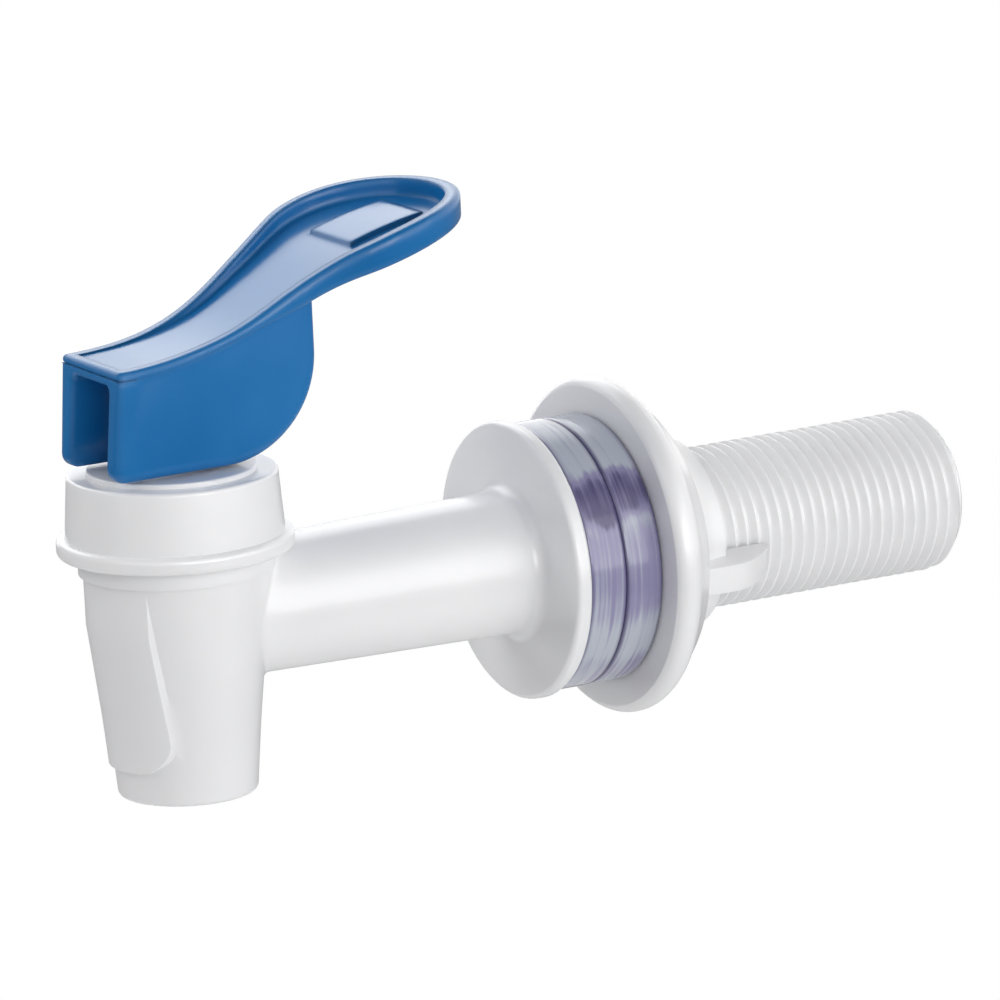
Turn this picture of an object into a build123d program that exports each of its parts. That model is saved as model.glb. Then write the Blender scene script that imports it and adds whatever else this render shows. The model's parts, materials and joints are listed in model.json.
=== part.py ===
"""Push-lever water tap: hollow spout body with a threaded shank, screwed bonnet, cam lever and lock nut.

Millimetres. The origin is the centre of the body flange's back face, on the shank's axis. +Y runs along
the shank into the panel, +Z is up, and the lever's pivot lies along X.
"""
import os
from math import acos, cos, degrees, radians, sin, sqrt

from build123d import *

os.makedirs("parts", exist_ok=True)

# Shank, at the major diameter of a three-eighths pipe thread
shank_radius = 8.33
shank_length = 48.0
shank_chamfer = 0.8
water_way_radius = 4.0

# Pipe and flange of the body
body_distance = 39.5
pipe_radius_front = 6.6
pipe_radius_back = 7.3
flange_radius = 14.25
flange_thickness = 1.75
flange_edge = 0.55
flange_fillet = 1.3
joint_fillet = 1.0

# Valve body, turned about the upright axis
ring_radius = 9.85
ring_low = 5.2
ring_high = 6.85
cone_top_radius = 9.45
cone_mid_radius = 7.75
cone_mid_height = -9.5
outlet_radius = 7.0
outlet_height = -17.65
outlet_round = 0.6
tongue_rise = 0.5
tongue_low = -14.3
tongue_half = 6.4
tongue_corner = 3.6
tongue_lap = 0.6

# Valve chamber and seat
chamber_radius = 6.6
neck_radius = 8.9
seat_height = -5.4
seat_radius = 3.2
seat_land = 1.0
seat_rise = 0.6
outlet_bore = 5.2
outlet_web = 2.6

# Bonnet
bonnet_top = 15.2
bonnet_plate = 2.6
bonnet_top_radius = 10.55
bonnet_low_radius = 11.0
collar_radius = 11.9
collar_low = 7.1
collar_high = 8.9
boss_radius = 8.6
boss_rise = 0.5
screw_clearance = 0.05
collar_edge = 0.6
bonnet_edge = 0.4
boss_edge = 0.2

# Stem, spring and seat cup
stem_radius = 2.9
stem_clearance = 0.06
stem_dome = 1.2
shoulder_radius = 3.95
shoulder_thickness = 1.0
shoulder_gap = 0.25
button_radius = 2.5
button_thickness = 1.2
button_neck = 1.6
plug_thickness = 3.8
plug_radius = 5.0
cup_wall = 0.7
cup_mouth_radius = 5.4
cup_rim_radius = 8.5
cup_rim_thickness = 1.0
wire_radius = 0.3
coil_gap = 0.35
coil_turns = 5

# Lever
lever_play = 0.3
lever_half = 6.2
slot_half = 3.9
lever_front = -8.9
lever_back = 13.9
cam_radius = 10.4
cam_wall = 2.2
front_corner = 1.4
pivot_rise = 5.3
pivot_radius = 1.5
pivot_clearance = 0.06
pivot_reach = 2.6
stem_above_pivot = 3.0
slot_back = 6.4
slot_roof = 1.7
slot_rise = 2.3
slot_rise_from = 0.0
slot_rise_to = 8.5
slot_spare = 2.0
pivot_root = 0.5
paddle_centre = 21.2
paddle_radius = 11.3
rim_width = 1.5
pad_start = 19.1
pad_end = 27.4
pad_half = 4.2
pad_rise = 0.45
lever_edge = 0.4
fork_edge = 0.9
cheek_inset = 0.35
mouth_edge = 0.5
roof_corner = 0.8
rim_rise = 11.2
paddle_rise = 13.1
paddle_depth = 3.0
tray_depth = 1.8
outline_spare = 0.5
fork_lap = 0.3

# Washers and lock nut
washer_radius = 13.75
washer_thickness = 4.2
washer_clearance = 0.25
washer_edge = 0.35
nut_clearance = 0.07
nut_face_radius = 16.5
nut_rim_radius = 17.35
nut_hub_radius = 9.75
nut_length = 9.7
nut_rim_at = 1.5
rim_back_run = 1.35
rim_back_drop = 0.75
trumpet_run = 4.1
trumpet_rise = 3.7
hub_run = 2.5
hub_rise = 0.75
wing_radius = 12.0
wing_length = 15.1
wing_thickness = 3.0
wing_turn = -13.0
wing_sunk = 1.5
wing_tip = 0.6
wing_sag = 1.1

# Values that follow from those above
body_y = -body_distance
body_axis = Axis((0, body_y, 0), (0, 0, 1))
bonnet_ceiling = bonnet_top - bonnet_plate
neck_height = bonnet_ceiling - cup_rim_thickness
boss_top = bonnet_top + boss_rise
lever_low = boss_top + lever_play
pivot_height = lever_low + pivot_rise
cam_y = lever_back - cam_radius
cam_height = lever_low + cam_radius
chamber_floor = seat_height - seat_rise
plug_top = seat_height + plug_thickness
shoulder_top = plug_top + shoulder_thickness
stem_top = pivot_height + stem_above_pivot
nut_front = 2 * washer_thickness
cone_blank = ring_high + pipe_radius_back / 2
upright = Plane(origin=(0, body_y, 0), x_dir=(0, 1, 0), z_dir=(1, 0, 0))


def cone_radius(height):
    if height > cone_mid_height:
        share = (height - cone_mid_height) / (ring_low - cone_mid_height)
        return cone_mid_radius + share * (cone_top_radius - cone_mid_radius)
    share = (height - outlet_height) / (cone_mid_height - outlet_height)
    return outlet_radius + share * (cone_mid_radius - outlet_radius)


def rings(radius, candidates):
    return candidates.filter_by(GeomType.CIRCLE).filter_by(lambda edge: abs(edge.radius - radius) < 0.01)


# Raised front panel of the valve body: a thicker cone kept only inside a tongue-shaped outline
with BuildPart() as front_panel:
    with BuildSketch(upright):
        with BuildLine():
            Polyline(
                (0, ring_low - tongue_lap),
                (cone_radius(ring_low - tongue_lap), ring_low - tongue_lap),
                (cone_radius(0) + tongue_rise, 0),
                (cone_radius(cone_mid_height) + tongue_rise, cone_mid_height),
                (cone_radius(tongue_low) + tongue_rise, tongue_low),
                (0, tongue_low),
                close=True,
            )
        make_face()
    revolve(axis=body_axis)
    with BuildSketch(Plane(origin=(0, body_y, 0), x_dir=(1, 0, 0), z_dir=(0, -1, 0))):
        with Locations((0, (ring_low + tongue_low) / 2)):
            Rectangle(2 * tongue_half, ring_low - tongue_low)
        low_corners = vertices().sort_by(Axis.Z)[:2]
        fillet(low_corners, tongue_corner)
    extrude(amount=2 * cone_top_radius, mode=Mode.INTERSECT)

# Spout body, pipe, flange and shank, moulded in one
with BuildPart() as tap_body:
    with BuildSketch(Plane.YZ):
        with BuildLine():
            pipe_line = Polyline(
                (body_y, 0),
                (body_y, pipe_radius_front),
                (-flange_thickness - flange_fillet, pipe_radius_back),
            )
            ThreePointArc(
                pipe_line @ 1,
                (
                    -flange_thickness - flange_fillet * (1 - sin(radians(45))),
                    pipe_radius_back + flange_fillet * (1 - cos(radians(45))),
                ),
                (-flange_thickness, pipe_radius_back + flange_fillet),
            )
            Polyline(
                (-flange_thickness, pipe_radius_back + flange_fillet),
                (-flange_thickness, flange_radius),
                (0, flange_radius),
                (0, shank_radius),
                (shank_length - shank_chamfer, shank_radius),
                (shank_length, shank_radius - shank_chamfer),
                (shank_length, 0),
                (body_y, 0),
            )
        make_face()
    revolve(axis=Axis.Y)
    fillet(rings(flange_radius, edges()), flange_edge)
    with BuildSketch(upright):
        with BuildLine():
            Polyline(
                (0, cone_blank),
                (cone_radius(cone_blank), cone_blank),
                (cone_mid_radius, cone_mid_height),
                (outlet_radius, outlet_height),
                (0, outlet_height),
                close=True,
            )
        make_face()
    revolve(axis=body_axis)
    fillet(edges().filter_by(GeomType.CIRCLE).sort_by(Axis.Z)[:1], outlet_round)
    fillet(edges().filter_by(GeomType.BSPLINE), joint_fillet)
    with BuildSketch(Plane.XY.offset(ring_high)):
        with Locations((0, body_y)):
            Circle(collar_radius + 2 * joint_fillet)
    extrude(amount=cone_blank, mode=Mode.SUBTRACT)
    with BuildSketch(upright):
        with BuildLine():
            Polyline(
                (0, neck_height),
                (neck_radius, neck_height),
                (neck_radius, ring_high),
                (ring_radius, ring_high),
                (ring_radius, ring_low),
                (0, ring_low),
                close=True,
            )
        make_face()
    revolve(axis=body_axis)
    add(front_panel.part)
    with BuildSketch(upright):
        with BuildLine():
            Polyline(
                (0, neck_height + 1),
                (chamber_radius, neck_height + 1),
                (chamber_radius, chamber_floor),
                (seat_radius + seat_land, chamber_floor),
                (seat_radius + seat_land, seat_height),
                (seat_radius, seat_height),
                (seat_radius, chamber_floor - outlet_web),
                (outlet_bore, chamber_floor - outlet_web - (outlet_bore - seat_radius) / 2),
                (outlet_bore, outlet_height - 1),
                (0, outlet_height - 1),
                close=True,
            )
        make_face()
    revolve(axis=body_axis, mode=Mode.SUBTRACT)
    with BuildSketch(Plane(origin=(0, body_y + chamber_radius / 2, 0), x_dir=(1, 0, 0), z_dir=(0, 1, 0))):
        Circle(water_way_radius)
    extrude(amount=body_distance + shank_length, mode=Mode.SUBTRACT)
tap_body.part.label = "tap_body"
export_step(tap_body.part, "parts/tap_body.step")

# Bonnet: a screwed cap with a collar below and a boss that the lever's cam rides on
with BuildPart() as bonnet:
    with BuildSketch(upright):
        with BuildLine():
            Polyline(
                (stem_radius + stem_clearance, boss_top),
                (boss_radius, boss_top),
                (boss_radius, bonnet_top),
                (bonnet_top_radius, bonnet_top),
                (bonnet_low_radius, collar_high),
                (collar_radius, collar_high),
                (collar_radius, collar_low),
                (neck_radius + screw_clearance, collar_low),
                (neck_radius + screw_clearance, bonnet_ceiling),
                (stem_radius + stem_clearance, bonnet_ceiling),
                close=True,
            )
        make_face()
    revolve(axis=body_axis)
    fillet(rings(collar_radius, edges()), collar_edge)
    fillet(rings(bonnet_top_radius, edges()), bonnet_edge)
    fillet(rings(boss_radius, edges()).sort_by(Axis.Z)[-1:], boss_edge)
bonnet.part.label = "bonnet"
export_step(bonnet.part, "parts/bonnet.step")

# Stem: a rod with a shoulder for the spring, a button for the seat cup and a cross hole for the lever
with BuildPart() as stem:
    with BuildSketch(upright):
        with BuildLine():
            Polyline(
                (0, stem_top),
                (stem_radius - stem_dome, stem_top),
                (stem_radius, stem_top - stem_dome),
                (stem_radius, shoulder_top),
                (shoulder_radius, shoulder_top),
                (shoulder_radius, plug_top),
                (button_neck, plug_top),
                (button_neck, seat_height + 2 * button_thickness),
                (button_radius, seat_height + 2 * button_thickness),
                (button_radius, seat_height + button_thickness),
                (0, seat_height + button_thickness),
                close=True,
            )
        make_face()
    revolve(axis=body_axis)
    with BuildSketch(Plane(origin=(0, body_y, pivot_height), x_dir=(0, 1, 0), z_dir=(1, 0, 0))):
        Circle(pivot_radius + pivot_clearance)
    extrude(amount=2 * stem_radius, both=True, mode=Mode.SUBTRACT)
stem.part.label = "stem"
export_step(stem.part, "parts/stem.step")

# Seat cup: a clamped rim, a bell round the spring and a plug that shuts the seat
cup_low_radius = shoulder_radius + shoulder_gap + cup_wall
with BuildPart() as seat_cup:
    with BuildSketch(upright):
        with BuildLine():
            Polyline(
                (cup_mouth_radius - cup_wall, bonnet_ceiling),
                (cup_rim_radius, bonnet_ceiling),
                (cup_rim_radius, neck_height),
                (cup_mouth_radius, neck_height),
                (cup_low_radius, plug_top),
                (plug_radius, plug_top - 1),
                (plug_radius, seat_height),
                (0, seat_height),
                (0, seat_height + button_thickness),
                (button_radius, seat_height + button_thickness),
                (button_radius, seat_height + 2 * button_thickness),
                (button_neck, seat_height + 2 * button_thickness),
                (button_neck, plug_top),
                (cup_low_radius - cup_wall, plug_top),
                close=True,
            )
        make_face()
    revolve(axis=body_axis)
seat_cup.part.label = "seat_cup"
export_step(seat_cup.part, "parts/seat_cup.step")

# Return spring, between the stem's shoulder and the bonnet's ceiling
coil_radius = stem_radius + coil_gap + wire_radius
coil_low = shoulder_top + wire_radius
coil_height = bonnet_ceiling - wire_radius - coil_low
with BuildPart() as return_spring:
    with BuildLine() as coil:
        Helix(coil_height / coil_turns, coil_height, coil_radius, center=(0, body_y, coil_low))
    with BuildSketch(Plane(origin=coil.line @ 0, z_dir=coil.line % 0)):
        Circle(wire_radius)
    sweep(path=coil.line, is_frenet=True)
return_spring.part.label = "return_spring"
export_step(return_spring.part, "parts/return_spring.step")

# Lever: stations along it, with the shares there of the rim's rise, the tray's depth and the band's depth
rim_height = lever_low + rim_rise
paddle_tip = paddle_centre + paddle_radius
lever_length = paddle_tip - lever_front
flare = paddle_radius - lever_half
stations = [
    (lever_front, 0.0, 0.11, 0.28),
    (lever_front + 0.106 * lever_length, 0.019, 0.11, 0.32),
    (lever_front + 0.227 * lever_length, 0.084, 0.19, 0.30),
    (lever_front + 0.348 * lever_length, 0.221, 0.39, 0.35),
    (lever_front + 0.481 * lever_length, 0.470, 0.67, 0.72),
    (lever_back, 0.600, 0.81, 0.80),
    (lever_front + 0.601 * lever_length, 0.687, 0.89, 0.88),
    (lever_front + 0.722 * lever_length, 0.840, 1.0, 1.0),
    (lever_front + 0.843 * lever_length, 0.931, 1.0, 0.97),
    (paddle_tip + outline_spare, 1.0, 0.94, 0.87),
]
rim_curve = [(body_y + q, rim_height + rise * paddle_rise) for q, rise, tray, band in stations]
floor_curve = [(y, z - tray * tray_depth) for (y, z), (q, rise, tray, band) in zip(rim_curve, stations)]
under_curve = [(y, z - band * paddle_depth) for (y, z), (q, rise, tray, band) in zip(rim_curve, stations)]
flank = [
    (lever_half, lever_front + 0.05 * lever_length),
    (lever_half, lever_front + 0.215 * lever_length),
    (lever_half + 0.11 * flare, lever_front + 0.329 * lever_length),
    (lever_half + 0.21 * flare, lever_front + 0.406 * lever_length),
    (lever_half + 0.41 * flare, lever_front + 0.505 * lever_length),
    (lever_half + 0.76 * flare, lever_front + 0.614 * lever_length),
    (paddle_radius, paddle_centre),
]


def paddle_outline(inset):
    nose = body_y + lever_front + inset - outline_spare
    side = Spline([(x - inset, body_y + q) for x, q in flank], tangents=[(0, 1), (0, 1)])
    CenterArc((0, body_y + paddle_centre), paddle_radius - inset, 0, 90)
    Polyline(side @ 0, (lever_half - inset, nose), (0, nose), (0, body_y + paddle_tip - inset))


# Paddle: a band between the rim and the underside, kept inside the outline seen from above
with BuildPart() as paddle:
    with BuildSketch(Plane.YZ):
        with BuildLine():
            rim_line = Spline(rim_curve)
            under_line = Spline(under_curve)
            Line(rim_line @ 0, under_line @ 0)
            Line(rim_line @ 1, under_line @ 1)
        make_face()
    extrude(amount=paddle_radius + outline_spare, both=True)
    with BuildSketch(Plane.XY):
        with BuildLine():
            paddle_outline(0)
        make_face()
        mirror(about=Plane.YZ)
    extrude(amount=2 * rim_height, mode=Mode.INTERSECT)
    fillet(edges(), lever_edge)

# Fork: a block with the cam's profile, its edges rounded, then slotted for the stem, with two nubs
cheek_half = lever_half - cheek_inset
fork_front = lever_front + cheek_inset
roof_height = rim_height - slot_roof
inner_radius = cam_radius - cam_wall
slot_floor = cam_height - sqrt(inner_radius ** 2 - (slot_back - cam_y) ** 2)
slot_end = cam_y + inner_radius
slot_turn = degrees(acos((slot_back - cam_y) / inner_radius))
with BuildPart() as fork:
    with BuildSketch(Plane.YZ):
        with BuildLine():
            lap_curve = [(y, z + fork_lap) for y, z in under_curve[:6]]
            block_top = Spline([(body_y + fork_front, lap_curve[0][1])] + lap_curve[1:])
            Polyline(block_top @ 0, (body_y + fork_front, lever_low), (body_y + cam_y, lever_low))
            CenterArc((body_y + cam_y, cam_height), cam_radius, -90, 90)
            Line((body_y + lever_back, cam_height), block_top @ 1)
        make_face()
        fillet(vertices().sort_by(Axis.Y)[:2].sort_by(Axis.X)[:1], front_corner)
    extrude(amount=cheek_half, both=True)
    outer_edges = edges().filter_by(lambda edge: abs(abs(edge.center().X) - cheek_half) < 0.01)
    fillet(outer_edges.filter_by(GeomType.BSPLINE, reverse=True), fork_edge)
    with BuildSketch(Plane.YZ):
        with BuildLine():
            Polyline(
                (body_y + slot_back, slot_floor),
                (body_y + slot_back, lever_low - slot_spare),
                (body_y + lever_front - slot_spare, lever_low - slot_spare),
                (body_y + lever_front - slot_spare, roof_height),
                (body_y + slot_rise_from, roof_height),
                (body_y + slot_rise_to, roof_height + slot_rise),
                (body_y + slot_end, roof_height + slot_rise),
                (body_y + slot_end, cam_height),
            )
            CenterArc((body_y + cam_y, cam_height), inner_radius, -slot_turn, slot_turn)
        make_face()
    extrude(amount=slot_half, both=True, mode=Mode.SUBTRACT)
    roof_edges = edges().filter_by(Axis.Y).filter_by(lambda edge: abs(edge.center().Z - roof_height) < 0.01)
    fillet(roof_edges, roof_corner)
    mouth = edges().filter_by(lambda edge: abs(edge.center().Y - body_y - fork_front) < 0.01)
    mouth = mouth.filter_by(lambda edge: abs(edge.center().X) < slot_half + 0.01)
    fillet(mouth.filter_by(lambda edge: edge.center().Z < roof_height + 0.01), mouth_edge)
    for side in (-1, 1):
        with BuildSketch(Plane.YZ.offset(side * (slot_half + pivot_root))):
            with Locations((body_y, pivot_height)):
                Circle(pivot_radius)
        extrude(amount=-side * (pivot_reach + pivot_root))

# Tray of the paddle: everything above its floor and inside the rim, with a flat pad left standing
with BuildPart() as tray:
    with BuildSketch(Plane.YZ):
        with BuildLine():
            floor_line = Spline(floor_curve)
            Polyline(
                floor_line @ 0,
                ((floor_line @ 0).X, 3 * rim_height),
                ((floor_line @ 1).X, 3 * rim_height),
                floor_line @ 1,
            )
        make_face()
    extrude(amount=paddle_radius, both=True)
    with BuildSketch(Plane.XY):
        with BuildLine():
            paddle_outline(rim_width)
        make_face()
        mirror(about=Plane.YZ)
    extrude(amount=4 * rim_height, mode=Mode.INTERSECT)
    with BuildSketch(Plane.YZ):
        with BuildLine():
            pad_line = Spline([(y, z + pad_rise) for y, z in floor_curve[5:]])
            Polyline(
                pad_line @ 0,
                ((pad_line @ 0).X, rim_height),
                ((pad_line @ 1).X, rim_height),
                pad_line @ 1,
            )
        make_face()
        with Locations((body_y + (pad_start + pad_end) / 2, 2 * rim_height)):
            Rectangle(pad_end - pad_start, 4 * rim_height, mode=Mode.INTERSECT)
    extrude(amount=pad_half, both=True, mode=Mode.SUBTRACT)

with BuildPart() as lever:
    add(paddle.part)
    add(tray.part, mode=Mode.SUBTRACT)
    add(fork.part)
lever.part.label = "lever"
export_step(lever.part, "parts/lever.step")

# Washers, one each side of the panel
washer_bore = shank_radius + washer_clearance
with BuildPart() as outer_washer:
    with BuildSketch(Plane(origin=(0, 0, 0), x_dir=(1, 0, 0), z_dir=(0, 1, 0))):
        Circle(washer_radius)
        Circle(washer_bore, mode=Mode.SUBTRACT)
    extrude(amount=washer_thickness)
    fillet(rings(washer_radius, edges()), washer_edge)
outer_washer.part.label = "outer_washer"
export_step(outer_washer.part, "parts/outer_washer.step")

with BuildPart() as inner_washer:
    with BuildSketch(Plane(origin=(0, washer_thickness, 0), x_dir=(1, 0, 0), z_dir=(0, 1, 0))):
        Circle(washer_radius)
        Circle(washer_bore, mode=Mode.SUBTRACT)
    extrude(amount=washer_thickness)
    fillet(rings(washer_radius, edges()), washer_edge)
inner_washer.part.label = "inner_washer"
export_step(inner_washer.part, "parts/inner_washer.step")

# Lock nut: a broad rim that sweeps back to a narrow hub, with a wing on each side
wing_way = radians(wing_turn)
wing_plane = Plane(origin=(0, nut_front, 0), x_dir=(0, 1, 0), z_dir=(sin(wing_way), 0, -cos(wing_way)))
with BuildPart() as lock_nut:
    with BuildSketch(Plane(origin=(0, nut_front, 0), x_dir=(0, 1, 0), z_dir=(1, 0, 0))):
        with BuildLine():
            Line((0, 0), (0, nut_face_radius))
            ThreePointArc(
                (0, nut_face_radius),
                (0.35 * nut_rim_at, nut_face_radius + 0.72 * (nut_rim_radius - nut_face_radius)),
                (nut_rim_at, nut_rim_radius),
            )
            rim_back = ThreePointArc(
                (nut_rim_at, nut_rim_radius),
                (nut_rim_at + 0.55 * rim_back_run, nut_rim_radius - 0.3 * rim_back_drop),
                (nut_rim_at + rim_back_run, nut_rim_radius - rim_back_drop),
            )
            Spline(
                [
                    (nut_rim_at + rim_back_run, nut_rim_radius - rim_back_drop),
                    (nut_rim_at + trumpet_run, nut_hub_radius + trumpet_rise),
                    (nut_length - hub_run, nut_hub_radius + hub_rise),
                    (nut_length, nut_hub_radius),
                ],
                tangents=[rim_back % 1, (1, -0.1)],
            )
            Polyline((nut_length, nut_hub_radius), (nut_length, 0), (0, 0))
        make_face()
    revolve(axis=Axis.Y)
    for way in (1, -1):
        with BuildSketch(wing_plane):
            with BuildLine():
                Polyline(
                    (wing_length, way * shank_radius),
                    (nut_rim_at + wing_sunk, way * shank_radius),
                    (nut_rim_at + wing_sunk, way * wing_radius),
                    (nut_length, way * wing_radius),
                )
                Spline(
                    [
                        (nut_length, way * wing_radius),
                        (nut_length + 0.6 * (wing_length - nut_length), way * (wing_radius - wing_sag)),
                        (wing_length, way * (shank_radius + wing_tip)),
                    ],
                    tangents=[(1, 0), (0.5, -way)],
                )
                Line((wing_length, way * (shank_radius + wing_tip)), (wing_length, way * shank_radius))
            make_face()
        extrude(amount=wing_thickness / 2, both=True)
    with BuildSketch(Plane(origin=(0, nut_front - 1, 0), x_dir=(1, 0, 0), z_dir=(0, 1, 0))):
        Circle(shank_radius + nut_clearance)
    extrude(amount=2 * wing_length, mode=Mode.SUBTRACT)
lock_nut.part.label = "lock_nut"
export_step(lock_nut.part, "parts/lock_nut.step")
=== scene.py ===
import json
from math import cos, hypot, pi, radians, sin

import bmesh
import bpy
from mathutils import Matrix, Vector


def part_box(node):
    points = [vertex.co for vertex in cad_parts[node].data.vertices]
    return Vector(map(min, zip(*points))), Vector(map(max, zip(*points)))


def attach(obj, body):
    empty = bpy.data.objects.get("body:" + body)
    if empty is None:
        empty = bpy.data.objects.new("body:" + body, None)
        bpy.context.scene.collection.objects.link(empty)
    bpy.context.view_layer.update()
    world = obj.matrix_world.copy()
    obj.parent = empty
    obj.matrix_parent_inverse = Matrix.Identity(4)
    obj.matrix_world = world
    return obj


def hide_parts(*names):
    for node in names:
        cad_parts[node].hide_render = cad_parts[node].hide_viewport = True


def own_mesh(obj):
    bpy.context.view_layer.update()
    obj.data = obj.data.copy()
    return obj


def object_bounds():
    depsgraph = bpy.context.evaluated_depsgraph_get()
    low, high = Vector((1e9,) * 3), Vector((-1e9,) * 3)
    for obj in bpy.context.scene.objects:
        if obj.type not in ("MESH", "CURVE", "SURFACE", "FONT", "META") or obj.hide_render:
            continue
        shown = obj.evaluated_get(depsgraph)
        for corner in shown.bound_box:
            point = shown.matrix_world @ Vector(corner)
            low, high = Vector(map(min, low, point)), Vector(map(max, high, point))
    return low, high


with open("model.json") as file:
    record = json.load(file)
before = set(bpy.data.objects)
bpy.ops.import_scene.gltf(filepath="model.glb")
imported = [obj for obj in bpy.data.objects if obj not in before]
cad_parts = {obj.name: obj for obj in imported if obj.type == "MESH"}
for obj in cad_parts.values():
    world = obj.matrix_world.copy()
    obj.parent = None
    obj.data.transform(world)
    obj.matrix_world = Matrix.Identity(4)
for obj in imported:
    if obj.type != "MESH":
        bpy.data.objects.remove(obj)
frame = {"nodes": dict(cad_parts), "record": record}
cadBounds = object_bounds()
nodes = frame["nodes"]
millimetres = 1000  # in a metre
mountRadius = {mount["name"]: mount["dims"]["r_mm"] / millimetres for mount in frame["record"]["mounts"]}
mergeDistance = 1e-6  # metres
print("frame loaded:", ", ".join(sorted(nodes)))

# values that several finishes share
noiseMiddle = 0.5  # noise and clouds swing about this
cloudEdges = (0.3, 0.7)  # noise at which one tone ends and the other is full
lightBleed = 0.002  # how far light spreads under a pale surface


# shader maths: a wire is one socket of a node tree
class Wire:
    def __init__(self, tree, socket=None):
        self.tree = tree
        self.socket = socket

    def add(self, kind, settings=None, sockets=None, out=0):
        node = self.tree.nodes.new(kind)
        for key, value in (settings or {}).items():
            setattr(node, key, value)
        for key, value in (sockets or {}).items():
            if isinstance(value, Wire):
                self.tree.links.new(value.socket, node.inputs[key])
            else:
                node.inputs[key].default_value = value
        return Wire(self.tree, node.outputs[out]) if node.outputs else None

    def math(self, operation, first, second):
        return self.add("ShaderNodeMath", {"operation": operation}, {0: first, 1: second})

    def __add__(self, other):
        return self.math("ADD", self, other)

    def __radd__(self, other):
        return self.math("ADD", other, self)

    def __sub__(self, other):
        return self.math("SUBTRACT", self, other)

    def __rsub__(self, other):
        return self.math("SUBTRACT", other, self)

    def __mul__(self, other):
        return self.math("MULTIPLY", self, other)

    def __rmul__(self, other):
        return self.math("MULTIPLY", other, self)

    def dot(self, way):  # how far this direction points along another
        return self.add("ShaderNodeVectorMath", {"operation": "DOT_PRODUCT"}, {
            0: self, 1: way}, out="Value")

    def noise(self, scale, detail=3.0):  # at this place
        return self.add("ShaderNodeTexNoise", None, {"Vector": self, "Scale": scale, "Detail": detail})

    def fade(self, low, high):  # 0 at low, 1 at high, smooth between
        return self.add("ShaderNodeMapRange", {"interpolation_type": "SMOOTHSTEP"}, {
            "Value": self, "From Min": low, "From Max": high})

    def blend(self, first, second):  # colours, by this value
        first, second = (end if isinstance(end, Wire) else (*end, 1.0) for end in (first, second))
        return self.add("ShaderNodeMix", {"data_type": "RGBA"}, {0: self, 6: first, 7: second}, out=2)

    def bump(self, strength, depth, normal=None):  # this value as a height
        sockets = {"Strength": strength, "Distance": depth, "Height": self}
        if normal is not None:
            sockets["Normal"] = normal
        return self.add("ShaderNodeBump", None, sockets)

    def ray(self, kind):  # 1 on rays of this kind
        return self.add("ShaderNodeLightPath", out=f"Is {kind} Ray")

    def seen(self):  # 1 where the camera looks, straight or through something clear
        return self.math("MAXIMUM", self.ray("Camera"), self.ray("Transmission"))


def startMaterial(name):
    material = bpy.data.materials.new(name)
    material.use_nodes = True
    tree = material.node_tree
    tree.nodes.clear()
    wire = Wire(tree)
    place = wire.add("ShaderNodeTexCoord", out="Object")
    return material, wire, place


def finishMaterial(wire, sockets):
    surface = wire.add("ShaderNodeBsdfPrincipled", None, sockets)
    wire.add("ShaderNodeOutputMaterial", None, {"Surface": surface})


# moulded plastic: cloudy colour, slow waviness from the mould and a fine grain
mouldLook = {"grainDepth": 0.0001, "grainRough": 0.04, "waveDepth": 0.001, "edgeSamples": 8}
whiteLook = {
    "colour": (0.86, 0.86, 0.865), "shade": (0.83, 0.83, 0.84), "cloudScale": 55.0, "grainScale": 2600.0,
    "waveScale": 90.0, "roughness": 0.34, "roughSpread": 0.06, "grainBump": 0.015, "waveBump": 0.03,
    "ior": 1.5, "specular": 0.5, "coat": 0.45, "coatRoughness": 0.1, "subsurface": 0.4,
    "subsurfaceRadius": (1.0, 0.95, 0.9), "edgeRound": 0.0}
blueLook = {
    "colour": (0.014, 0.165, 0.43), "shade": (0.002, 0.13, 0.37), "cloudScale": 45.0, "grainScale": 2600.0,
    "waveScale": 110.0, "roughness": 0.2, "roughSpread": 0.08, "grainBump": 0.05, "waveBump": 0.04,
    "ior": 1.5, "specular": 0.4, "coat": 0.0, "coatRoughness": 0.08, "subsurface": 0.0,
    "subsurfaceRadius": (0.2, 0.4, 1.0), "edgeRound": 0.0011}
stemLook = {
    "colour": (0.8, 0.8, 0.78), "shade": (0.72, 0.72, 0.7), "cloudScale": 140.0, "grainScale": 2200.0,
    "waveScale": 160.0, "roughness": 0.5, "roughSpread": 0.12, "grainBump": 0.1, "waveBump": 0.03,
    "ior": 1.48, "specular": 0.5, "coat": 0.0, "coatRoughness": 0.1, "subsurface": 0.1,
    "subsurfaceRadius": (1.0, 0.95, 0.85), "edgeRound": 0.0}


def makePlastic(name, look):
    material, wire, place = startMaterial(name)
    cloud = place.noise(look["cloudScale"]).fade(*cloudEdges)
    grain = place.noise(look["grainScale"], detail=2.0)
    wave = place.noise(look["waveScale"], detail=1.0)
    cloudRough = look["roughSpread"] * (cloud - noiseMiddle)
    grainRough = mouldLook["grainRough"] * (grain - noiseMiddle)
    normal = None
    if look["edgeRound"]:  # sharp edges shaded as if rounded
        samples = {"samples": mouldLook["edgeSamples"]}
        normal = wire.add("ShaderNodeBevel", samples, {"Radius": look["edgeRound"]})
    normal = grain.bump(look["grainBump"], mouldLook["grainDepth"], normal)
    normal = wave.bump(look["waveBump"], mouldLook["waveDepth"], normal)
    finishMaterial(wire, {
        "Base Color": cloud.blend(look["shade"], look["colour"]),
        "Roughness": look["roughness"] + cloudRough + grainRough, "Normal": normal,
        "IOR": look["ior"], "Specular IOR Level": look["specular"],
        "Coat Weight": look["coat"], "Coat Roughness": look["coatRoughness"],
        "Subsurface Weight": look["subsurface"], "Subsurface Radius": look["subsurfaceRadius"],
        "Subsurface Scale": lightBleed})
    return material


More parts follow.
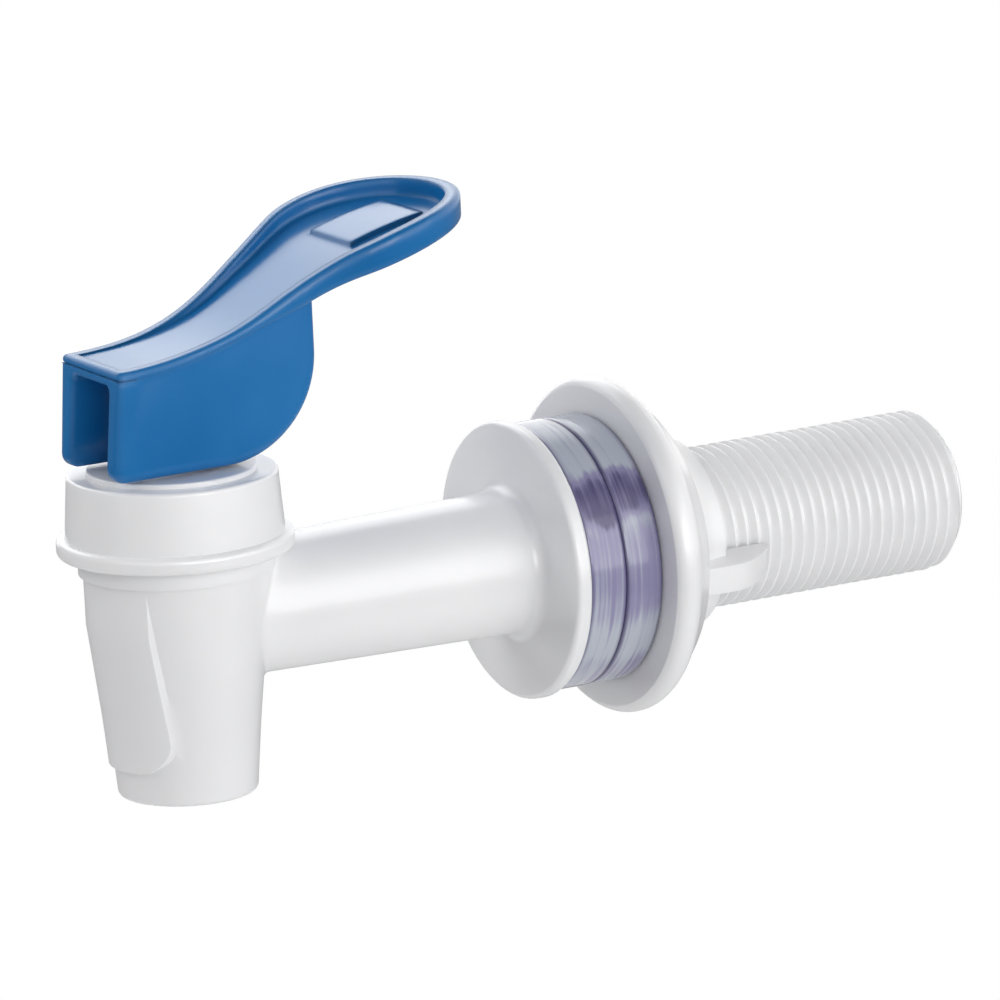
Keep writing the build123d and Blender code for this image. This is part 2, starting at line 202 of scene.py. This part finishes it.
# clear violet silicone: painted shade in patches at fixed angles round the shank, fine streaks that follow
# the washer round, and painted shade along its rim edges
washerLook = {
    "light": (0.52, 0.56, 0.64), "violet": (0.3, 0.28, 0.46), "deep": (0.1, 0.085, 0.2),
    "violetFull": 0.6, "deepFull": 1.1,  # depth at which each of these two tones is full
    "shadePatches": (  # painted shade patches: degrees round the shank, width in degrees and depth
        (37.0, 11.0, 1.0), (2.0, 20.0, 0.5), (-52.0, 12.0, 0.3), (150.0, 24.0, 0.7), (-140.0, 30.0, 0.9)),
    "raggedScale": 170.0, "raggedDepth": 0.25, "raggedEdge": 0.07, "raggedRough": 0.2,
    "streakScale": 2100.0, "streakStretch": 0.03, "streakViolet": 1.3, "streakDeep": 0.9,
    # the seam values give the width and strength of painted shade along the washer's rim edges, where it
    # meets the next part
    "streakBump": 0.25, "streakHeight": 0.0002, "seamShade": 0.0006, "seamShadeStrength": 0.9,
    "roughness": 0.16, "transmission": 0.15, "ior": 1.42, "coat": 0.3}


def makeWasherSilicone(look):
    material, wire, place = startMaterial("washerSilicone")
    low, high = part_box("outer_washer")
    thickness = high[1] - low[1]
    radius = high[0]
    ragged = place.noise(look["raggedScale"], detail=2.0) - noiseMiddle
    flat = wire.add("ShaderNodeVectorMath", {"operation": "MULTIPLY"}, {0: place, 1: (1.0, 0.0, 1.0)})
    outward = wire.add("ShaderNodeVectorMath", {"operation": "NORMALIZE"}, {0: flat})
    depth = look["raggedDepth"] * ragged
    # painted shade: darker violet tones laid in patches at fixed angles round the shank
    for angle, width, strength in look["shadePatches"]:
        near = outward.dot((cos(radians(angle)), 0.0, sin(radians(angle))))
        start = 2 * cos(radians(width)) - 1  # half the depth is left at the patch's width
        depth = depth + strength * (near + look["raggedEdge"] * ragged).fade(start, 1.0)
    stretch = (look["streakStretch"], 1.0, look["streakStretch"])
    rounds = wire.add("ShaderNodeMapping", None, {"Vector": place, "Scale": stretch})
    streak = rounds.noise(look["streakScale"], detail=1.0)
    swing = streak - noiseMiddle
    along = wire.add("ShaderNodeSeparateXYZ", None, {0: place}, out="Y")
    across = wire.add("ShaderNodeVectorMath", {"operation": "LENGTH"}, {0: flat}, out="Value")
    # painted shade along the rim edges of each face, where the washer meets the next part
    rim = across.fade(radius - 2 * look["seamShade"], radius - look["seamShade"] / 2)
    seamShade = rim * (1 - wire.math("PINGPONG", along, thickness / 2).fade(0.0, look["seamShade"]))
    violet = (depth + look["streakViolet"] * swing).fade(0.0, look["violetFull"])
    deep = (depth + look["streakDeep"] * swing).fade(look["violetFull"], look["deepFull"])
    # painted shade from the patches and the rim seams, with the streaks, darkens the colour
    dark = wire.math("MAXIMUM", deep, look["seamShadeStrength"] * seamShade)
    finishMaterial(wire, {
        "Base Color": dark.blend(violet.blend(look["light"], look["violet"]), look["deep"]),
        "Roughness": look["roughness"] + look["raggedRough"] * ragged,
        "Normal": streak.bump(look["streakBump"], look["streakHeight"]),
        "IOR": look["ior"], "Transmission Weight": look["transmission"], "Coat Weight": look["coat"]})
    return material


# milky silicone of the seat cup
cupLook = {
    "light": (0.78, 0.78, 0.8), "deep": (0.62, 0.62, 0.66), "cloudScale": 120.0, "roughness": 0.4,
    "roughSpread": 0.1, "subsurface": 0.3}


def makeCupSilicone(look):
    material, wire, place = startMaterial("cupSilicone")
    cloud = place.noise(look["cloudScale"]).fade(*cloudEdges)
    finishMaterial(wire, {
        "Base Color": cloud.blend(look["light"], look["deep"]),
        "Roughness": look["roughness"] + look["roughSpread"] * cloud,
        "Subsurface Weight": look["subsurface"], "Subsurface Scale": lightBleed})
    return material


# drawn spring wire, with fine lines along the draw
springLook = {
    "light": (0.64, 0.64, 0.66), "dark": (0.4, 0.4, 0.42), "lineScale": 900.0,
    "lineStretch": (1.0, 1.0, 8.0), "lineEdges": (0.35, 0.65), "roughness": 0.28, "roughSpread": 0.15}


def makeSpringSteel(look):
    material, wire, place = startMaterial("springSteel")
    drawn = wire.add("ShaderNodeMapping", None, {"Vector": place, "Scale": look["lineStretch"]})
    line = drawn.noise(look["lineScale"], detail=4.0).fade(*look["lineEdges"])
    finishMaterial(wire, {
        "Base Color": line.blend(look["light"], look["dark"]), "Metallic": 1.0,
        "Roughness": look["roughness"] + look["roughSpread"] * line})
    return material


finishes = {
    "white_plastic": makePlastic("whitePlastic", whiteLook),
    "blue_plastic": makePlastic("bluePlastic", blueLook),
    "natural_plastic": makePlastic("stemPlastic", stemLook),
    "washer_silicone": makeWasherSilicone(washerLook),
    "clear_silicone": makeCupSilicone(cupLook),
    "spring_steel": makeSpringSteel(springLook)}
for part in frame["record"]["subparts"]:
    meshData = nodes[part["node"]].data
    meshData.materials.clear()
    meshData.materials.append(finishes[part["material_slot"]])
print("finishes set on", len(nodes), "nodes")


def copySolid(node):  # with its loose triangles joined
    bm = bmesh.new()
    bm.from_mesh(nodes[node].data)
    bmesh.ops.remove_doubles(bm, verts=bm.verts, dist=mergeDistance)
    return bm


def makePiece(name, bm, material, sharpDegrees=35.0):
    meshData = bpy.data.meshes.new(name)
    bm.to_mesh(meshData)
    bm.free()
    if "custom_normal" in meshData.attributes:  # left over from the solid, and wrong after a merge
        meshData.attributes.remove(meshData.attributes["custom_normal"])
    meshData.materials.append(material)
    meshData.shade_smooth()
    meshData.set_sharp_from_angle(angle=radians(sharpDegrees))
    piece = bpy.data.objects.new(name, meshData)
    bpy.context.scene.collection.objects.link(piece)
    return piece


def cutPast(bm, plane, way, snap):  # takes off what lies past the plane y = plane
    bmesh.ops.bisect_plane(
        bm, geom=bm.verts[:] + bm.edges[:] + bm.faces[:], dist=snap,
        plane_co=(0, plane, 0), plane_no=(0, way, 0), clear_outer=True)


def rimLoops(bm, plane):  # open edges that lie in the plane y = plane
    return [edge for edge in bm.edges
            if edge.is_boundary and all(abs(vert.co.y - plane) < mergeDistance for vert in edge.verts)]


def vertsOf(geometry):
    return [item for item in geometry if isinstance(item, bmesh.types.BMVert)]


# shank: a pipe thread, which starts out of sight inside the outer washer
shankSizes = {
    "radius": mountRadius["shank"], "bore": mountRadius["inlet_bore"],
    "start": 0.0012, "endChamfer": 0.0011, "pitch": 0.001337, "flankAngle": 27.5,
    "heightShare": 0.9605, "roundShare": 0.1373,  # of the pitch
    "steps": 96, "roundSegments": 4, "spareTurns": 2,
    "sharpDegrees": 50.0, "bodySnap": 1e-7, "threadSnap": 1e-8}


# spout, pipe and flange: the solid without its plain shank, which the threaded one takes over
def makeSpoutBody(sizes):
    bm = copySolid("tap_body")
    cutPast(bm, sizes["start"], 1, sizes["bodySnap"])
    bmesh.ops.bridge_loops(bm, edges=rimLoops(bm, sizes["start"]))
    return makePiece("spout_body", bm, finishes["white_plastic"])


# threaded shank: one pitch of the profile is turned once, then repeated along the shank
def makeThreadedShank(sizes):
    start = sizes["start"]
    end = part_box("tap_body")[1][1]
    pitch = sizes["pitch"]
    peak = sizes["heightShare"] * pitch / 2
    roundRadius = sizes["roundShare"] * pitch
    flank = radians(sizes["flankAngle"])
    trim = roundRadius / sin(flank) - roundRadius  # what the rounding takes off a sharp crest
    middle = sizes["radius"] + trim - peak
    bm = bmesh.new()
    profile = [(0, middle), (pitch / 4, middle + peak), (3 * pitch / 4, middle - peak), (pitch, middle)]
    verts = [bm.verts.new((radius, along, 0)) for along, radius in profile]
    for first, second in zip(verts, verts[1:]):
        bm.edges.new((first, second))
    bmesh.ops.bevel(
        bm, geom=verts[1:3], affect="VERTICES", offset=roundRadius * cos(flank) / sin(flank),
        segments=sizes["roundSegments"], profile=0.5, material=-1)
    bmesh.ops.spin(
        bm, geom=bm.verts[:] + bm.edges[:], cent=(0, 0, 0), axis=(0, 1, 0), angle=2 * pi,
        dvec=(0, pitch / sizes["steps"], 0), steps=sizes["steps"])
    turn = bm.verts[:] + bm.edges[:] + bm.faces[:]
    bmesh.ops.translate(bm, verts=bm.verts, vec=(0, start - sizes["spareTurns"] * pitch, 0))
    for count in range(1, round((end - start) / pitch) + 2 * sizes["spareTurns"]):
        copied = vertsOf(bmesh.ops.duplicate(bm, geom=turn)["geom"])
        bmesh.ops.translate(bm, verts=copied, vec=(0, count * pitch, 0))
    bmesh.ops.remove_doubles(bm, verts=bm.verts, dist=2 * mergeDistance)
    cutPast(bm, start, -1, sizes["threadSnap"])
    cutPast(bm, end, 1, sizes["threadSnap"])
    for vert in bm.verts:  # the chamfered end cuts the crests down
        limit = sizes["radius"] - max(0.0, vert.co.y - end + sizes["endChamfer"])
        across = hypot(vert.co.x, vert.co.z)
        if across > limit:
            vert.co.x *= limit / across
            vert.co.z *= limit / across
    bore = bmesh.ops.create_circle(
        bm, cap_ends=False, segments=sizes["steps"], radius=sizes["bore"],
        matrix=Matrix.Translation((0, end, 0)) @ Matrix.Rotation(pi / 2, 4, "X"))
    boreEdges = list(dict.fromkeys(edge for vert in bore["verts"] for edge in vert.link_edges))
    rim = [edge for edge in rimLoops(bm, end) if edge not in boreEdges]
    deepRing = vertsOf(bmesh.ops.extrude_edge_only(bm, edges=boreEdges)["geom"])
    bmesh.ops.translate(bm, verts=deepRing, vec=(0, start - end, 0))
    bmesh.ops.bridge_loops(bm, edges=rim + boreEdges)
    bmesh.ops.bridge_loops(bm, edges=rimLoops(bm, start))
    bmesh.ops.recalc_face_normals(bm, faces=bm.faces)
    print("thread faces", len(bm.faces), "open edges", sum(edge.is_boundary for edge in bm.edges))
    return makePiece("threaded_shank", bm, finishes["white_plastic"], sizes["sharpDegrees"])


# lever: the solid with its fork brought out flush with the lip, tighter corners and a leaning front
leverFront = {
    "half": 0.0062,  # half the lip's width
    "lip": 0.00084,  # the lip's thickness
    "flush": 0.00035,  # how far the solid's fork stands back from the lip
    "corner": 0.0009,  # radius of the fork's upright edges on the solid
    "tight": 0.0004,  # and here
    "foot": 0.003,  # height from which the edges are tighter
    "pull": 0.0005,  # the front leans back by this at the lip
    "push": 0.00055,  # and forward by this at the foot
    "reach": 0.009,  # all of it dies out this far behind the front
    "slot": 0.0045}  # what is nearer the middle belongs to the slot and isn't widened


def clamped(value):  # kept between 0 and 1
    return min(max(value, 0.0), 1.0)


def makeLeverSkin(look):
    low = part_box("lever")[0]
    cornerX = look["half"] - look["flush"] - look["corner"]
    cornerY = low[1] + look["flush"] + look["corner"]
    tighter = 1 - look["tight"] / look["corner"]
    bm = copySolid("lever")
    lipTop = max(vert.co.z for vert in bm.verts if vert.co.y < low[1] + look["flush"])
    for vert in bm.verts:
        along = clamped((vert.co.y - low[1]) / look["reach"])
        front = 1 - along * along * (3 - 2 * along)
        down = clamped((lipTop - vert.co.z) / (lipTop - low[2]))
        side = 1 if vert.co.x > 0 else -1
        across = abs(vert.co.x)
        underLip = vert.co.z < lipTop - look["lip"]
        if underLip and across > look["slot"]:
            if across > cornerX and vert.co.y < cornerY:  # the rounded upright edge
                share = tighter * clamped((vert.co.z - low[2] - look["foot"]) / look["corner"])
                vert.co.x += side * share * (cornerX + look["corner"] - across)
                vert.co.y += share * (cornerY - look["corner"] - vert.co.y)
            vert.co.x += side * look["flush"] * front
        if underLip:
            vert.co.y -= look["flush"] * front
        vert.co.y += front * (look["pull"] * (1 - down) - look["push"] * down)
    return makePiece("lever_skin", bm, finishes["blue_plastic"])


leverSkin = makeLeverSkin(leverFront)
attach(leverSkin, "lever")
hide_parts("lever")

for piece in (makeSpoutBody(shankSizes), makeThreadedShank(shankSizes)):
    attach(piece, "tap")
    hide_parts("tap_body")
print("lever, body and thread made")

# spring and cup each get a mesh of their own
for name in ("return_spring", "seat_cup"):
    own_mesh(nodes[name])

# camera, fitted to the photograph's outline
cameraLook = {
    "azimuth": 60.99, "elevation": 13.11, "roll": 2.58, "distance": 1.01509,
    "right": -0.00239, "up": 0.00592, "lens": 360.0, "sensor": 36.0, "clipStart": 0.01}


def makeCamera(look):
    turn, rise, roll = (radians(look[key]) for key in ("azimuth", "elevation", "roll"))
    back = Vector((sin(turn) * cos(rise), -cos(turn) * cos(rise), sin(rise)))
    right = Vector((cos(turn), sin(turn), 0))
    up = back.cross(right)
    rolledRight = right * cos(roll) - up * sin(roll)
    rolledUp = right * sin(roll) + up * cos(roll)
    eye = back * look["distance"] + rolledRight * look["right"] + rolledUp * look["up"]
    turned = Matrix((rolledRight, rolledUp, back)).transposed().to_4x4()
    data = bpy.data.cameras.new("camera")
    data.lens = look["lens"]
    data.sensor_width = look["sensor"]
    data.clip_start = look["clipStart"]
    camera = bpy.data.objects.new("camera", data)
    bpy.context.scene.collection.objects.link(camera)
    camera.matrix_world = Matrix.Translation(eye) @ turned
    bpy.context.scene.camera = camera
    return back, right


cameraBack, cameraRight = makeCamera(cameraLook)

# soft boxes round the tap's middle: degrees to the right of the camera and up, distance, size and power
tapMiddle = Vector((0, -0.005, 0.004))
softBoxes = {
    "keyBox": {
        "turn": 58.0, "rise": 14.0, "distance": 0.9,
        "size": (0.97, 0.62), "power": 2.8, "mirrored": True},
    "fillBox": {
        "turn": 24.0, "rise": 12.0, "distance": 1.4,
        "size": (1.1, 0.5), "power": 8.0, "mirrored": True},
    "sideBox": {
        "turn": -105.0, "rise": -4.0, "distance": 1.2,
        "size": (0.35, 0.35), "power": 2.4, "mirrored": False},
    "backBox": {
        "turn": -150.0, "rise": 38.0, "distance": 0.9,
        "size": (1.0, 0.6), "power": 2.8, "mirrored": True},
    "topBox": {
        "turn": -90.0, "rise": 35.0, "distance": 1.0,
        "size": (0.6, 0.6), "power": 3.0, "mirrored": False}}


def levelWay(turn):  # level direction, in degrees to the right of the camera
    front = Vector((cameraBack.x, cameraBack.y, 0)).normalized()
    return cameraRight * sin(radians(turn)) + front * cos(radians(turn))


def makeSoftBox(name, look):
    data = bpy.data.lights.new(name, "AREA")
    data.shape = "RECTANGLE"
    data.size, data.size_y = look["size"]
    data.energy = look["power"]
    lamp = bpy.data.objects.new(name, data)
    lamp.visible_glossy = look["mirrored"]
    bpy.context.scene.collection.objects.link(lamp)
    rise = radians(look["rise"])
    outward = levelWay(look["turn"]) * cos(rise) + Vector((0, 0, 1)) * sin(rise)
    offset = outward * look["distance"]
    aimed = offset.to_track_quat("Z", "Y").to_matrix().to_4x4()
    lamp.matrix_world = Matrix.Translation(tapMiddle + offset) @ aimed


for name, look in softBoxes.items():
    makeSoftBox(name, look)

# world: seen as white, dimmer as light, mirrored as a studio with a dark ceiling, ground and left side
worldLook = {
    "seen": (1.0, 1.0, 1.0), "light": (0.29, 0.29, 0.295), "studio": (1.6, 1.6, 1.6),
    "dark": (0.12, 0.12, 0.13), "ceilingFrom": 0.6, "ceilingTo": 0.85,
    "groundFrom": -0.02, "groundTo": -0.18, "groundShade": 0.9,
    "sideTurn": -105.0, "sideFrom": 0.62, "sideTo": 0.76}


def makeWorld(look):
    world = bpy.data.worlds.new("studio")
    world.use_nodes = True
    world.node_tree.nodes.clear()
    wire = Wire(world.node_tree)
    way = wire.add("ShaderNodeTexCoord", out="Generated")
    height = wire.add("ShaderNodeSeparateXYZ", None, {0: way}, out="Z")
    ceiling = height.fade(look["ceilingFrom"], look["ceilingTo"])
    ground = look["groundShade"] * height.fade(look["groundFrom"], look["groundTo"])
    side = way.dot(levelWay(look["sideTurn"])).fade(look["sideFrom"], look["sideTo"])
    shade = wire.math("MAXIMUM", wire.math("MAXIMUM", ceiling, side), ground)
    unseen = wire.ray("Glossy").blend(look["light"], shade.blend(look["studio"], look["dark"]))
    sky = wire.add("ShaderNodeBackground", None, {"Color": wire.seen().blend(unseen, look["seen"])})
    wire.add("ShaderNodeOutputWorld", None, {"Surface": sky})
    bpy.context.scene.world = world


makeWorld(worldLook)

# floor, so far below the spout that the tap's shadow falls outside the camera's view
floorLook = {
    "drop": 0.6, "size": 1.0, "squares": 8, "colour": (0.93, 0.93, 0.93), "shade": (0.9, 0.9, 0.9),
    "cloudScale": 3.0, "glow": 1.03, "seenShare": 0.95, "mirrorShare": 0.4}


def makeFloor(look):
    material, wire, place = startMaterial("paleFloor")
    cloud = place.noise(look["cloudScale"]).fade(*cloudEdges)
    matte = wire.add("ShaderNodeBsdfDiffuse", None, {"Color": cloud.blend(look["shade"], look["colour"])})
    glow = wire.add("ShaderNodeEmission", None, {"Color": (1.0, 1.0, 1.0, 1.0), "Strength": look["glow"]})
    glowShare = wire.seen() * look["seenShare"] + wire.ray("Glossy") * look["mirrorShare"]
    surface = wire.add("ShaderNodeMixShader", None, {0: glowShare, 1: matte, 2: glow})
    wire.add("ShaderNodeOutputMaterial", None, {"Surface": surface})
    bm = bmesh.new()
    bmesh.ops.create_grid(bm, x_segments=look["squares"], y_segments=look["squares"], size=look["size"])
    bmesh.ops.translate(bm, verts=bm.verts, vec=(0, 0, cadBounds[0][2] - look["drop"]))
    floor = makePiece("floor", bm, material)


makeFloor(floorLook)
bpy.context.scene.view_settings.view_transform = "Standard"
print("camera, lights and floor set")
